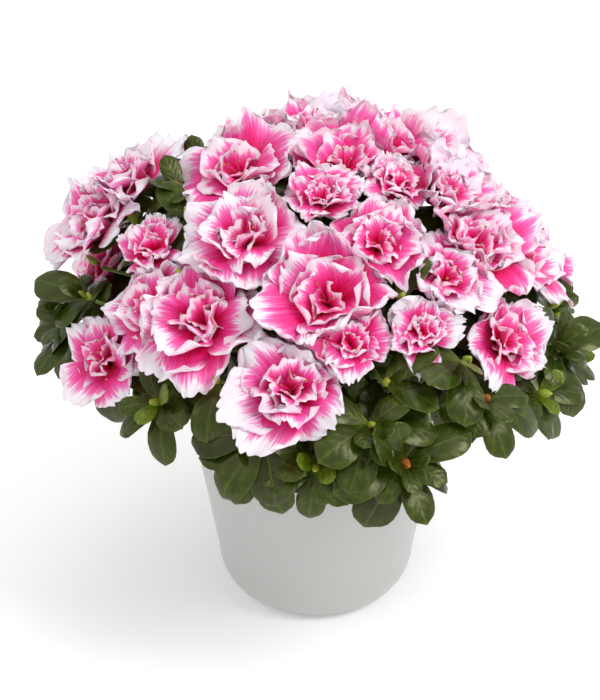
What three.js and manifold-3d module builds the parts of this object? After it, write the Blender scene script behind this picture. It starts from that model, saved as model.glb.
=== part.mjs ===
// A potted azalea in full bloom: a low dome of double flowers over whorls of leaves, on twelve
// sprays that branch from a short trunk, in a plain tapered pot filled with potting soil.
// Millimetres, +Z up, the origin at the middle of the pot's flat underside, -Y the front.
// Angles are in degrees. Azimuth is counted from the front towards +X, polar angle from straight up.
import * as THREE from "three";
import { mergeVertices } from "three/addons/utils/BufferGeometryUtils.js";
import Module from "manifold-3d";

const wasm = await Module();
wasm.setup();

// ---------------------------------------------------------------- driving dimensions
const CLEAR = 0.3; // between neighbouring solids
const POT = { height: 140, rimRadius: 80, baseRadius: 56, cornerWide: 20, cornerHigh: 26, wall: 4.6, sides: 40 };
const SOIL = { top: 122, sides: 20, sink: 1.4, gap: 1.6 };
const TRUNK = { footRadius: 10.5, radius: 6.4, topRadius: 4.6, top: 155, lean: 5, sides: 8, steps: 7 };
const CROWN = { middle: 155, halfWidth: 152, rise: 141 };
const BOUGH = { radius: 2.8, tipRadius: 2.3, reach: 54, sag: 7, sides: 6, steps: 5 };
const STEM = { radius: 2.3, tipRadius: 1.5, reach: 104, sides: 4, steps: 3 };
const TWIG = { radius: 1.5, tipRadius: 1.1 };
const LEAF = { widthShare: 0.5, widestAt: 0.6, tipDrop: 0.06, shortest: 0.5 };
const COLLAR = { along: 0.7, leaves: 2, leafLength: 32, tilt: 70 };
const WHORL = { eye: 3.4, thickness: 3.2, oldTilt: 96 }; // the middle that the leaves are rooted in
const POT_MARGIN = 5; // leaves hang this far clear of the rim

// A shoot ends in a flower or in a whorl of leaves. bloom is the flower's radius. seat is the
// share of the crown's radius at which the shoot ends, under its petals or in its whorl. tilt is
// the angle from the shoot at which its youngest leaf stands.
const SHOOTS = {
  V: { bloom: 41, seat: 0.88, leaves: 5, leafLength: 40, tilt: 88 },
  W: { bloom: 38, seat: 1, leaves: 5, leafLength: 40, tilt: 88 },
  B: { bloom: 37, seat: 0.9, leaves: 5, leafLength: 38, tilt: 88 },
  b: { bloom: 31, seat: 0.91, leaves: 5, leafLength: 36, tilt: 88 },
  s: { bloom: 23, seat: 0.93, leaves: 4, leafLength: 34, tilt: 88 },
  L: { bloom: 0, seat: 0.96, leaves: 7, leafLength: 43, tilt: 55 },
  l: { bloom: 0, seat: 0.93, leaves: 6, leafLength: 36, tilt: 55 },
};

// The crown is planted in rings. Each ring has 36 slots, ten degrees apart, turned by a few
// degrees; a letter is a shoot and a dot an empty slot. Slot 0 is at the front. nod is how many
// degrees further down a leafy shoot faces than the crown does there.
const RINGS = [
  { polar: 8, turn: 0, nod: 0, slots: ".......V............................" },
  { polar: 19, turn: 2, nod: 0, slots: "s.....s.....B.....B....s....B......." },
  { polar: 32, turn: -3, nod: 0, slots: "...b....B....B...B..l.l..l..L.l..B.." },
  { polar: 45, turn: 4, nod: 0, slots: "V.l.b.B..b...B...b..B....W.l.s.l...." },
  { polar: 55, turn: -3, nod: 0, slots: ".s.s.....B.....l..B...L....W...b.V.." },
  { polar: 65, turn: -5, nod: 5, slots: "B.l.L.b....B..l...L..b..L..l.L....l." },
  { polar: 74, turn: 0, nod: 10, slots: ".L..L..L.l...b..L..B..l..B..L.b.l..L" },
  { polar: 82, turn: -2, nod: 16, slots: "l.L...l.l.l.L.l.l.l.L.l.L..L.......l" },
];
const SLOT_ANGLE = 10;
const TO_LIGHT = 0.8; // a shoot turns up to the light: this share of its own polar angle is left
const WINDOW = { polar: 40, azimuth: 0, pull: 0.33 }; // and it leans to the window in front
const JITTER = { polar: 1.5, azimuth: 2, seat: 0.02 };

// Rows of sprays: how many hearts there are round the crown at each polar angle. A spray keeps to
// the space that is nearer to its own heart than to any other. roots are the heights on the trunk
// where the row's boughs leave it, taken in turn.
const SPRAYS = [
  { row: "top", polar: 0, count: 1, turn: 0, roots: [TRUNK.top], colour: "blossom" },
  { row: "upper", polar: 49, count: 5, turn: 15, roots: [147, 143.5, 140], colour: "blossom" },
  { row: "lower", polar: 74, count: 6, turn: 0, roots: [134, 128.5], colour: "leaf" },
];

const COLOURS = {
  pot: { color: 0xd4d6d6, roughness: 0.38, metalness: 0 },
  soil: { color: 0x3b2a1e, roughness: 0.95, metalness: 0 },
  bark: { color: 0x6b4f39, roughness: 0.85, metalness: 0 },
  leaf: { color: 0x4a6136, roughness: 0.5, metalness: 0 },
  blossom: { color: 0xe58bb2, roughness: 0.6, metalness: 0 },
};

// ---------------------------------------------------------------- small tools
const radians = THREE.MathUtils.degToRad;
const UP = new THREE.Vector3(0, 0, 1);
const CROWN_MIDDLE = new THREE.Vector3(0, 0, CROWN.middle);
const SIDE_GUIDE = new THREE.Vector3(0.3, 1, 0.2); // turns about a shoot are counted from across it

// Numbers from 0 to 1 that are the same on every run, a stream of them for each seed.
function seededStream(seed) {
  let state = seed >>> 0;
  return () => {
    state = (state + 0x6d2b79f5) >>> 0;
    let mixed = Math.imul(state ^ (state >>> 15), state | 1);
    mixed ^= mixed + Math.imul(mixed ^ (mixed >>> 7), mixed | 61);
    return ((mixed ^ (mixed >>> 14)) >>> 0) / 4294967296;
  };
}

// The unit direction at a polar angle and an azimuth.
function direction(polar, azimuth) {
  const side = Math.sin(radians(polar));
  return new THREE.Vector3(
    side * Math.sin(radians(azimuth)),
    -side * Math.cos(radians(azimuth)),
    Math.cos(radians(polar)),
  );
}

// A geometry from vertices and triangles.
function meshOf(points, triangles) {
  const geometry = new THREE.BufferGeometry();
  geometry.setAttribute("position", new THREE.Float32BufferAttribute(points.flatMap((p) => [p.x, p.y, p.z]), 3));
  geometry.setIndex(triangles.flat());
  return geometry;
}

// A closed geometry as a solid that can be joined and cut.
function solidOf(geometry) {
  const bare = geometry.clone();
  bare.deleteAttribute("normal");
  bare.deleteAttribute("uv");
  const merged = mergeVertices(bare, 1e-5);
  const vertProperties = new Float32Array(merged.attributes.position.array);
  const triVerts = new Uint32Array(merged.index.array);
  return new wasm.Manifold(new wasm.Mesh({ numProp: 3, vertProperties, triVerts }));
}

function largestBody(solid) {
  return solid.decompose().sort((first, second) => second.volume() - first.volume())[0];
}

function bareGeometry({ vertProperties, triVerts }) {
  const geometry = new THREE.BufferGeometry();
  geometry.setAttribute("position", new THREE.BufferAttribute(vertProperties, 3));
  geometry.setIndex(new THREE.BufferAttribute(triVerts, 1));
  return geometry;
}

// The largest body of a solid as a geometry: loose scraps go, and sealed hollows are filled, also
// those that only close when the vertices are rounded.
function geometryOf(solid) {
  const rounded = solidOf(bareGeometry(largestBody(solid).getMesh()));
  return bareGeometry(largestBody(rounded).getMesh());
}

function addMesh(group, name, geometry, colour) {
  const mesh = new THREE.Mesh(geometry, new THREE.MeshStandardMaterial(colour));
  mesh.geometry.computeVertexNormals();
  mesh.name = name;
  group.add(mesh);
}

// A closed tapering tube: rings of equal sides carried along a curve, with flat ends.
function taperedTube(curve, { sides, steps }, radiusAt) {
  const frames = curve.computeFrenetFrames(steps, false);
  const points = [];
  const triangles = [];
  for (let ring = 0; ring <= steps; ring += 1) {
    const centre = curve.getPointAt(ring / steps);
    const radius = radiusAt(ring / steps);
    for (let side = 0; side < sides; side += 1) {
      const angle = (2 * Math.PI * side) / sides;
      const out = frames.normals[ring].clone().multiplyScalar(Math.cos(angle) * radius);
      out.addScaledVector(frames.binormals[ring], Math.sin(angle) * radius);
      points.push(centre.clone().add(out));
    }
  }
  for (let ring = 0; ring < steps; ring += 1) {
    for (let side = 0; side < sides; side += 1) {
      const next = (side + 1) % sides;
      const [a, b] = [ring * sides + side, ring * sides + next];
      triangles.push([a, b, b + sides], [a, b + sides, a + sides]);
    }
  }
  const last = steps * sides;
  for (let side = 1; side < sides - 1; side += 1) {
    triangles.push([0, side + 1, side], [last, last + side, last + side + 1]);
  }
  return meshOf(points, triangles);
}

// ---------------------------------------------------------------- pot and soil
// The radius of the pot's outer wall at a height above its rounded bottom corner.
function potRadius(height) {
  return THREE.MathUtils.lerp(POT.baseRadius, POT.rimRadius, height / POT.height);
}

// A quarter of an ellipse from straight down to straight out, as points of a profile.
function cornerArc(middleRadius, middleHeight, wide, high, steps) {
  return Array.from({ length: steps + 1 }, (_, step) => {
    const angle = (Math.PI / 2) * (step / steps);
    return new THREE.Vector2(middleRadius + wide * Math.sin(angle), middleHeight - high * Math.cos(angle));
  });
}

function lathe(profile, sides) {
  return new THREE.LatheGeometry(profile, sides).rotateX(Math.PI / 2);
}

// The profile runs from the middle of the underside out, up the wall, over the rim and back in.
function potGeometry() {
  const cornerRadius = potRadius(POT.cornerHigh);
  const half = POT.wall / 2;
  const outer = cornerArc(cornerRadius - POT.cornerWide, POT.cornerHigh, POT.cornerWide, POT.cornerHigh, 4);
  const inner = cornerArc(cornerRadius - POT.cornerWide, POT.cornerHigh,
    POT.cornerWide - POT.wall, POT.cornerHigh - POT.wall, 3).reverse();
  const rim = [0, 60, 120, 180].map((angle) => new THREE.Vector2(
    POT.rimRadius - half + half * Math.cos(radians(angle)),
    POT.height - half + half * Math.sin(radians(angle)),
  ));
  const profile = [new THREE.Vector2(0, 0), ...outer, ...rim, ...inner, new THREE.Vector2(0, POT.wall)];
  return lathe(profile, POT.sides);
}

// The soil fills the pot, just clear of its wall, with a flat top that sinks towards the wall.
function soilGeometry() {
  const inset = POT.wall + SOIL.gap;
  const cornerRadius = potRadius(POT.cornerHigh);
  const bottom = cornerArc(cornerRadius - POT.cornerWide, POT.cornerHigh + CLEAR,
    POT.cornerWide - inset, POT.cornerHigh - POT.wall, 3);
  const edge = potRadius(SOIL.top) - inset;
  const profile = [
    new THREE.Vector2(0, POT.wall + CLEAR),
    ...bottom,
    new THREE.Vector2(edge, SOIL.top - SOIL.sink),
    new THREE.Vector2(edge - 12, SOIL.top),
    new THREE.Vector2(0, SOIL.top),
  ];
  return lathe(profile, SOIL.sides);
}

// ---------------------------------------------------------------- trunk and boughs
const trunkFoot = new THREE.Vector3(-TRUNK.lean / 2, 0, SOIL.top + CLEAR);
const trunkTop = new THREE.Vector3(TRUNK.lean / 2, 0, TRUNK.top);
const trunkCurve = new THREE.CatmullRomCurve3([
  trunkFoot,
  new THREE.Vector3(-TRUNK.lean / 2, 0, SOIL.top + 8),
  new THREE.Vector3(TRUNK.lean / 3, TRUNK.lean / 4, SOIL.top + 22),
  trunkTop,
]);

// The trunk spreads at its foot over the first third of its length and tapers to its fork.
function trunkRadius(along) {
  const flare = (TRUNK.footRadius - TRUNK.radius) * Math.max(0, 1 - 3 * along) ** 2;
  return THREE.MathUtils.lerp(TRUNK.radius, TRUNK.topRadius, along) + flare;
}

// The heart of each spray, with the bough that carries it.
function sprayList() {
  return SPRAYS.flatMap(({ row, polar, count, turn, roots, colour }) =>
    Array.from({ length: count }, (_, index) => {
      const azimuth = turn + (360 / count) * index;
      return {
        name: count === 1 ? row : `${row}_${index + 1}`,
        heart: direction(polar, azimuth),
        root: roots[index % roots.length],
        colour: COLOURS[colour],
        shoots: [],
      };
    }));
}

// A bough leaves the trunk's middle line, rises, and turns towards its spray's heart. The top one
// runs on from the trunk's end, just clear of it.
function boughCurve(spray) {
  const along = Math.min(1, (spray.root - trunkFoot.z) / (trunkTop.z - trunkFoot.z));
  const start = trunkCurve.getPointAt(along);
  const tip = CROWN_MIDDLE.clone().addScaledVector(spray.heart, BOUGH.reach);
  const bend = start.clone().lerp(tip, 0.45);
  if (along === 1) {
    const onward = trunkCurve.getTangentAt(1);
    start.addScaledVector(onward, CLEAR);
    bend.copy(start).addScaledVector(onward, 0.45 * start.distanceTo(tip));
  } else {
    bend.z -= BOUGH.sag;
  }
  return new THREE.QuadraticBezierCurve3(start, bend, tip);
}

// The foot of each bough is cut to the trunk's surface, just clear of it.
function boughGeometry(spray) {
  const tube = taperedTube(boughCurve(spray), BOUGH, (along) =>
    THREE.MathUtils.lerp(BOUGH.radius, BOUGH.tipRadius, along));
  if (spray.root >= TRUNK.top) {
    return tube;
  }
  const sleeve = taperedTube(trunkCurve, TRUNK, (along) => trunkRadius(along) + CLEAR * 1.2);
  return geometryOf(solidOf(tube).subtract(solidOf(sleeve)));
}

// ---------------------------------------------------------------- shoots and their spaces
// Every shoot's end, the way that it faces, its kind and its own stream of numbers.
function shootList() {
  return RINGS.flatMap(({ polar, turn, nod, slots }, ring) =>
    [...slots].flatMap((letter, slot) => {
      if (letter === ".") {
        return [];
      }
      const kind = SHOOTS[letter];
      const random = seededStream(ring * 100 + slot + 1);
      const spread = (share) => share * (2 * random() - 1);
      const ownPolar = polar + spread(JITTER.polar);
      const azimuth = turn + slot * SLOT_ANGLE + spread(JITTER.azimuth);
      const size = new THREE.Vector3(CROWN.halfWidth, CROWN.halfWidth, CROWN.rise);
      const outward = direction(ownPolar, azimuth);
      const place = CROWN_MIDDLE.clone()
        .addScaledVector(outward.clone().multiply(size), kind.seat + spread(JITTER.seat));
      const facing = direction(ownPolar * TO_LIGHT + (kind.bloom > 0 ? 0 : nod), azimuth)
        .addScaledVector(direction(WINDOW.polar, WINDOW.azimuth), WINDOW.pull).normalize();
      return [{ ...kind, place, outward, facing, random }];
    }));
}

// The walls of a spray's space: planes through the crown's middle, halfway to each other heart.
function spaceWalls(spray, sprays) {
  return sprays.filter((other) => other !== spray).map((other) => {
    const inward = spray.heart.clone().sub(other.heart).normalize();
    return new THREE.Plane().setFromNormalAndCoplanarPoint(inward, CROWN_MIDDLE);
  });
}

// Flowers press on each other: a wall stands between two neighbours, nearer to the smaller one.
function flowerWalls(shoot, shoots) {
  const near = shoots.filter((other) => other !== shoot && other.bloom > 0
    && other.place.distanceTo(shoot.place) < 2 * SHOOTS.V.bloom);
  return near.map((other) => {
    const inward = shoot.place.clone().sub(other.place).normalize();
    const between = shoot.place.clone().lerp(other.place, shoot.bloom / (shoot.bloom + other.bloom));
    return new THREE.Plane().setFromNormalAndCoplanarPoint(inward, between);
  });
}

// How far a line from root to tip may go before it meets a wall, as a share of its length.
function shareInSpace(root, tip, walls) {
  const shares = walls.map((wall) => {
    const atRoot = wall.distanceToPoint(root) - CLEAR;
    const atTip = wall.distanceToPoint(tip) - CLEAR;
    return atTip >= 0 ? 1 : Math.max(0, atRoot / (atRoot - atTip));
  });
  return Math.min(...shares);
}

// A point is clear of the limbs when it is outside the boughs' reach and well off the pot.
function clearOfLimbs(point) {
  const outsideBoughs = point.distanceTo(CROWN_MIDDLE) > BOUGH.reach + 8;
  const abovePot = point.z > POT.height + POT_MARGIN;
  const besidePot = Math.hypot(point.x, point.y) > POT.rimRadius + POT_MARGIN;
  return outsideBoughs && (abovePot || besidePot);
}

// ---------------------------------------------------------------- leaves and flowers
// A ring is a list of points round a shoot, each with its turn from 0 to 1 about the shoot.
function evenRing(centre, facing, side, radii, height, phase = 0) {
  return radii.map((radius, index) => {
    const turn = (index + phase) / radii.length;
    const outward = side.clone().applyAxisAngle(facing, 2 * Math.PI * turn);
    return { turn, point: centre.clone().addScaledVector(outward, radius).addScaledVector(facing, height(index)) };
  });
}

// Triangles between two rings, the first nearer to the shoot's foot: each step goes on to
// whichever ring's next point has turned least.
function stitch(lower, upper, firstLower, firstUpper) {
  const triangles = [];
  let [i, j] = [0, 0];
  while (i < lower.length || j < upper.length) {
    const nextLower = i < lower.length ? (lower[i + 1]?.turn ?? 1 + lower[0].turn) : Infinity;
    const nextUpper = j < upper.length ? (upper[j + 1]?.turn ?? 1 + upper[0].turn) : Infinity;
    const a = firstLower + (i % lower.length);
    const b = firstUpper + (j % upper.length);
    if (nextLower < nextUpper) {
      i += 1;
      triangles.push([a, firstLower + (i % lower.length), b]);
    } else {
      j += 1;
      triangles.push([a, firstUpper + (j % upper.length), b]);
    }
  }
  return triangles;
}

// A closed solid through a row of rings, with a flat foot and a point at its end.
function loftedSolid(rings, apex) {
  const points = rings.flat().map(({ point }) => point);
  const firsts = rings.map((_, index) => rings.slice(0, index).flat().length);
  const triangles = rings[0].slice(2).map((_, index) => [0, index + 2, index + 1]);
  rings.slice(1).forEach((ring, index) =>
    triangles.push(...stitch(rings[index], ring, firsts[index], firsts[index + 1])));
  const last = rings.at(-1);
  last.forEach((_, index) => triangles.push(
    [firsts.at(-1) + index, firsts.at(-1) + ((index + 1) % last.length), points.length]));
  return solidOf(meshOf([...points, apex], triangles));
}

// The three outline points of a leaf: one edge, the tip, which bends down, and the other edge. A
// leaf keeps to its own sector of the whorl. It is made smaller to stay in its space, and left
// out when too little of it would be left or when it would touch the pot or a bough.
function leafOutline(root, along, above, length, sector, walls) {
  const across = new THREE.Vector3().crossVectors(above, along);
  const flatReach = LEAF.widestAt * length * across.length();
  const half = Math.min((length * LEAF.widthShare) / 2, flatReach * Math.tan(radians(0.45 * sector)));
  across.normalize();
  const at = (share, side, rise) => root.clone().addScaledVector(along, share * length)
    .addScaledVector(across, side).addScaledVector(above, rise);
  const outline = [
    at(LEAF.widestAt, -half, 0), at(1, 0, -LEAF.tipDrop * length), at(LEAF.widestAt, half, 0),
  ];
  const share = Math.min(...outline.map((point) => shareInSpace(root, point, walls)));
  const fitted = outline.map((point) => root.clone().lerp(point, share));
  return share > LEAF.shortest && fitted.every(clearOfLimbs) ? fitted : [];
}

// A whorl of leaves as one ring, with a notch before each leaf. The leaves go from old ones,
// which lie flat or bend back, to young ones, which stand up by the angle tilt.
function whorlRing({ place, facing, side, random, walls }, count, leafLength, tilt, eye) {
  const sector = 360 / count;
  const ring = [];
  for (let leaf = 0; leaf < count; leaf += 1) {
    const age = ((leaf * 3) % count) / count;
    const turn = (leaf + 0.5 + 0.16 * (random() - 0.5)) / count;
    const ownTilt = radians(tilt + (WHORL.oldTilt - tilt) * age + 14 * (random() - 0.5));
    const length = leafLength * (0.8 + 0.2 * age + 0.16 * (random() - 0.5));
    const outward = side.clone().applyAxisAngle(facing, 2 * Math.PI * turn);
    const along = facing.clone().multiplyScalar(Math.cos(ownTilt)).addScaledVector(outward, Math.sin(ownTilt));
    const notch = side.clone().applyAxisAngle(facing, (2 * Math.PI * leaf) / count);
    ring.push({ turn: leaf / count, point: place.clone().addScaledVector(notch, eye) });
    leafOutline(place, along, facing, length, sector, walls).forEach((point, index) =>
      ring.push({ turn: turn + (0.25 * (index - 1)) / count, point }));
  }
  return ring;
}

// The rings of a double flower above its leaves: a narrow base, five broad outer petals with
// notches between them, and a raised ring of inner petals. A petal that would leave its space
// is shorter.
function flowerRings({ place, facing, side, bloom, random }, walls) {
  const outer = Array.from({ length: 10 }, (_, step) => (step % 2 ? 0.8 : 1 + 0.08 * (random() - 0.5)) * bloom);
  const ruffle = outer.map(() => (0.33 + 0.16 * (random() - 0.5)) * bloom);
  const rings = [
    evenRing(place, facing, side, [3, 3, 3, 3, 3], () => 2.5),
    evenRing(place, facing, side, outer, (index) => ruffle[index]),
    evenRing(place, facing, side, Array(5).fill(0.5 * bloom), () => 0.62 * bloom, 0.5),
  ];
  return rings.map((ring) => ring.map(({ turn, point }) =>
    ({ turn, point: place.clone().lerp(point, shareInSpace(place, point, walls)) })));
}

// One shoot as one closed solid: a three-sided twig from the stem, a small collar of leaves on
// it, the whorl of leaves at its end and, on a flowering shoot, the flower.
function shootSolid(shoot, from, walls, shoots) {
  const { place, outward, facing, bloom, random, leaves, leafLength, tilt } = shoot;
  const side = new THREE.Vector3().crossVectors(facing, SIDE_GUIDE).normalize()
    .applyAxisAngle(facing, 2 * Math.PI * random());
  const reach = place.clone().sub(from);
  const middle = from.clone().addScaledVector(reach, 0.5).addScaledVector(outward, -0.1 * reach.length());
  const end = place.clone().addScaledVector(facing, -0.5 * WHORL.thickness);
  const twig = new THREE.QuadraticBezierCurve3(from, middle, end);
  const twigRing = (along) => {
    const onward = twig.getTangent(along);
    const across = side.clone().addScaledVector(onward, -side.dot(onward)).normalize();
    const radius = THREE.MathUtils.lerp(TWIG.radius, TWIG.tipRadius, along);
    return evenRing(twig.getPoint(along), onward, across, [radius, radius, radius], () => 0);
  };
  const collarWay = twig.getTangent(COLLAR.along);
  const collar = {
    place: twig.getPoint(COLLAR.along),
    facing: collarWay,
    side: side.clone().addScaledVector(collarWay, -side.dot(collarWay)).normalize(),
    random,
    walls,
  };
  const rings = [
    twigRing(0),
    twigRing(COLLAR.along - 0.06),
    whorlRing(collar, COLLAR.leaves, COLLAR.leafLength, COLLAR.tilt, TWIG.radius),
    twigRing(COLLAR.along + 0.06),
    twigRing(1),
    whorlRing({ place, facing, side, random, walls }, leaves, leafLength, tilt, WHORL.eye),
  ];
  if (bloom > 0) {
    rings.push(...flowerRings({ place, facing, side, bloom, random }, [...walls, ...flowerWalls(shoot, shoots)]));
  }
  const eyeHeight = bloom > 0 ? 0.44 * bloom : 0.5 * WHORL.thickness;
  return loftedSolid(rings, place.clone().addScaledVector(facing, eyeHeight));
}

// ---------------------------------------------------------------- sprays
// A spray's stem runs on from its bough's tip, and each shoot's twig leaves it at its own place.
function sprayGeometry(spray, sprays) {
  const walls = spaceWalls(spray, sprays);
  const bough = boughCurve(spray);
  const onward = bough.getTangent(1);
  const start = bough.getPoint(1).addScaledVector(onward, CLEAR);
  const end = CROWN_MIDDLE.clone().addScaledVector(spray.heart, STEM.reach);
  const bend = start.clone().addScaledVector(onward, 0.4 * start.distanceTo(end));
  const stem = new THREE.QuadraticBezierCurve3(start, bend, end);
  const pieces = [solidOf(taperedTube(stem, STEM, (along) =>
    THREE.MathUtils.lerp(STEM.radius, STEM.tipRadius, along)))];
  spray.shoots.forEach((shoot, index) => {
    const from = stem.getPoint(0.35 + (0.6 * index) / spray.shoots.length);
    pieces.push(shootSolid(shoot, from, walls, spray.shoots));
  });
  return geometryOf(pieces.reduce((whole, piece) => whole.add(piece)));
}

// ---------------------------------------------------------------- the whole plant
const azalea = new THREE.Group();
addMesh(azalea, "pot", potGeometry(), COLOURS.pot);
addMesh(azalea, "potting_soil", soilGeometry(), COLOURS.soil);
addMesh(azalea, "trunk", taperedTube(trunkCurve, TRUNK, trunkRadius), COLOURS.bark);

const sprays = sprayList();
for (const shoot of shootList()) {
  const nearest = sprays.reduce((best, spray) =>
    (spray.heart.dot(shoot.outward) > best.heart.dot(shoot.outward) ? spray : best));
  nearest.shoots.push(shoot);
}
for (const spray of sprays) {
  addMesh(azalea, `bough_${spray.name}`, boughGeometry(spray), COLOURS.bark);
  addMesh(azalea, `foliage_${spray.name}`, sprayGeometry(spray, sprays), spray.colour);
}

export default azalea;
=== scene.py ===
"""A potted azalea in full bloom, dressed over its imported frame.

The plant grows by the rule of the part's source, written again here: the same rings of shoots,
the same sprays and the same seeded numbers. Each shoot then gets its full leaves, finer twigs and
a double flower of ruffled petals. Sizes are in millimetres and go to metres where a mesh is made.
Azimuth is counted in degrees from the front, which is -Y, towards +X; polar angle from straight up.
"""

import math
from functools import partial
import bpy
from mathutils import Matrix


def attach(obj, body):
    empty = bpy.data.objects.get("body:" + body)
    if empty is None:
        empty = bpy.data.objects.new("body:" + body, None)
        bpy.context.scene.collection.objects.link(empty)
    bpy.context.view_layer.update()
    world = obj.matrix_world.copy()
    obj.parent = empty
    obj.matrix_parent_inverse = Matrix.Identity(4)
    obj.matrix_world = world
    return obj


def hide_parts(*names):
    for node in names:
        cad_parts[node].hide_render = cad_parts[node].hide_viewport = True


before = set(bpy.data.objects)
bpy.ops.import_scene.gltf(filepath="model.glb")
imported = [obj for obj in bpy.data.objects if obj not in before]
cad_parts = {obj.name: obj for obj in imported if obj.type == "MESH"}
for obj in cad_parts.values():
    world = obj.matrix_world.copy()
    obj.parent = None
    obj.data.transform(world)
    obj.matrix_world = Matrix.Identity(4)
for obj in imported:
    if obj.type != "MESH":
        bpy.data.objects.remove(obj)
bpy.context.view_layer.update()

from types import SimpleNamespace

import bpy
import numpy as np
from mathutils import Vector

MM = 0.001


# ---- sizes shared with the source
POT = SimpleNamespace(height=140, rim=80, base=56, corner_wide=20, corner_high=26, wall=4.6)
SOIL = SimpleNamespace(top=122, sink=1.4, gap=1.6)
TRUNK = SimpleNamespace(foot=10.5, radius=6.4, top_radius=4.6, top=155, lean=5)
CROWN = SimpleNamespace(middle=155, half_width=152, rise=141)
BOUGH = SimpleNamespace(radius=2.8, tip_radius=2.3, reach=54, sag=7, bend=0.45)
STEM = SimpleNamespace(radius=2.3, tip_radius=1.5, reach=104, bend=0.4, first=0.35, span=0.6)
TWIG = SimpleNamespace(radius=1.5, tip_radius=1.1)
COLLAR = SimpleNamespace(along=0.7, leaves=2, leaf_length=32, tilt=70)
CLEAR = 0.3
OLD_TILT = 96
RING_SEED = 100

# bloom, seat, leaves, leaf length and tilt of each kind of shoot.
SHOOTS = {
    "V": (41, 0.88, 5, 40, 88),
    "W": (38, 1, 5, 40, 88),
    "B": (37, 0.9, 5, 38, 88),
    "b": (31, 0.91, 5, 36, 88),
    "s": (23, 0.93, 4, 34, 88),
    "L": (0, 0.96, 7, 43, 55),
    "l": (0, 0.93, 6, 36, 55),
}
LARGEST_BLOOM = max(kind[0] for kind in SHOOTS.values())
# polar angle, turn, nod and the 36 slots of each ring of shoots.
RINGS = [
    (8, 0, 0, ".......V............................"),
    (19, 2, 0, "s.....s.....B.....B....s....B......."),
    (32, -3, 0, "...b....B....B...B..l.l..l..L.l..B.."),
    (45, 4, 0, "V.l.b.B..b...B...b..B....W.l.s.l...."),
    (55, -3, 0, ".s.s.....B.....l..B...L....W...b.V.."),
    (65, -5, 5, "B.l.L.b....B..l...L..b..L..l.L....l."),
    (74, 0, 10, ".L..L..L.l...b..L..B..l..B..L.b.l..L"),
    (82, -2, 16, "l.L...l.l.l.L.l.l.l.L.l.L..L.......l"),
]
SLOT_ANGLE = 10
# A shoot faces up to the light by this share of its polar angle, and then turns to a window.
TO_LIGHT = 0.8
WINDOW = SimpleNamespace(polar=40, azimuth=0, pull=0.33)
# How far a shoot strays from its slot, in degrees, and from its seat, as a share.
JITTER = SimpleNamespace(polar=1.5, azimuth=2, seat=0.02)
# row, polar angle, count, turn and the heights of the boughs' roots, taken in turn.
SPRAYS = [
    ("top", 0, 1, 0, [TRUNK.top]),
    ("upper", 49, 5, 15, [147, 143.5, 140]),
    ("lower", 74, 6, 0, [134, 128.5]),
]

# ---- sizes of the finer growth
FINE_SEED, INNER_SEED = 50000, 90000
WHORL_GROWTH = 1.08
RUSTY_SHARE = 0.35
# How wide a leaf is for its length, how far it curls in radians, and how much of that is down.
BLADE = SimpleNamespace(width=0.53, curl=0.6, old_curl=0.3, droop=0.5)
# The second tier of a leafy whorl, and a low whorl under the collar.
TIER = SimpleNamespace(height=2.5, size=0.68, tilt=26, young=0.3)
LOW = SimpleNamespace(drop=9, turn=1.3, leaves=3, leaf_length=34, tilt=62)
SIDE_TWIG = SimpleNamespace(radius=0.9, tip_radius=0.6)
# Side twigs that fill the crown from the inside: knots along the stem, and their turns.
INNER = SimpleNamespace(knots=8, first=0.02, step=0.115, turn=2.4, sway=0.5, onward=0.35, rise=2,
                        reach=18, more=12, leaves=6, leaf_length=32, tilt=58, seat=1, lowest=0)
# Side twigs under the canopy, two to a shoot, none near its surface or on the pot's rim.
BRANCH = SimpleNamespace(count=2, first=0.4, step=0.2, turn=2.1, step_turn=2.6, sway=0.6,
                         sideways=0.55, rise=3, reach=26, more=10, young=0.4, leaves=5,
                         leaf_length=31, tilt=58, seat=0.84, lowest=POT.height + 6)
# How far a leaf's tip keeps from the pot's side and rim, and from the boughs' middle, and the
# part of a flower, as shares of its radius, that no leaf enters.
KEEP = SimpleNamespace(side=4, rim=3, middle=52, low=0.1, high=0.95, wide=0.95)


# ---- numbers and directions
class Stream:
    """Numbers from 0 to 1, the same on every run, from a 32-bit counter that is stirred."""

    MASK = 0xFFFFFFFF

    def __init__(self, seed):
        self.state = seed & self.MASK

    def __call__(self):
        self.state = (self.state + 0x6D2B79F5) & self.MASK
        mixed = ((self.state ^ (self.state >> 15)) * (self.state | 1)) & self.MASK
        mixed ^= (mixed + (((mixed ^ (mixed >> 7)) * (mixed | 61)) & self.MASK)) & self.MASK
        return (mixed ^ (mixed >> 14)) / 2**32

    def spread(self, share):
        """A number from -share to share."""
        return share * (2 * self() - 1)


def direction(polar, azimuth):
    """The unit direction at a polar angle and an azimuth, in degrees."""
    p, a = math.radians(polar), math.radians(azimuth)
    return np.array([math.sin(p) * math.sin(a), -math.sin(p) * math.cos(a), math.cos(p)])


def unit(vectors):
    """Vectors over their own lengths."""
    return vectors / np.linalg.norm(vectors, axis=-1, keepdims=True)


def turned(vector, axis, angle):
    """A vector turned about a unit axis: v cos + (axis x v) sin + axis (axis . v)(1 - cos)."""
    c, s = math.cos(angle), math.sin(angle)
    return vector * c + np.cross(axis, vector) * s + axis * np.dot(axis, vector) * (1 - c)


def across_of(vector, axis):
    """The part of a vector square to a unit axis, at unit length."""
    return unit(vector - axis * np.dot(vector, axis))


def bezier(start, bend, end, along):
    """Points of the quadratic curve (1-t)^2 start + 2t(1-t) bend + t^2 end at the shares t."""
    t = np.asarray(along, float)[..., None]
    return (1 - t) ** 2 * start + 2 * t * (1 - t) * bend + t**2 * end


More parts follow.
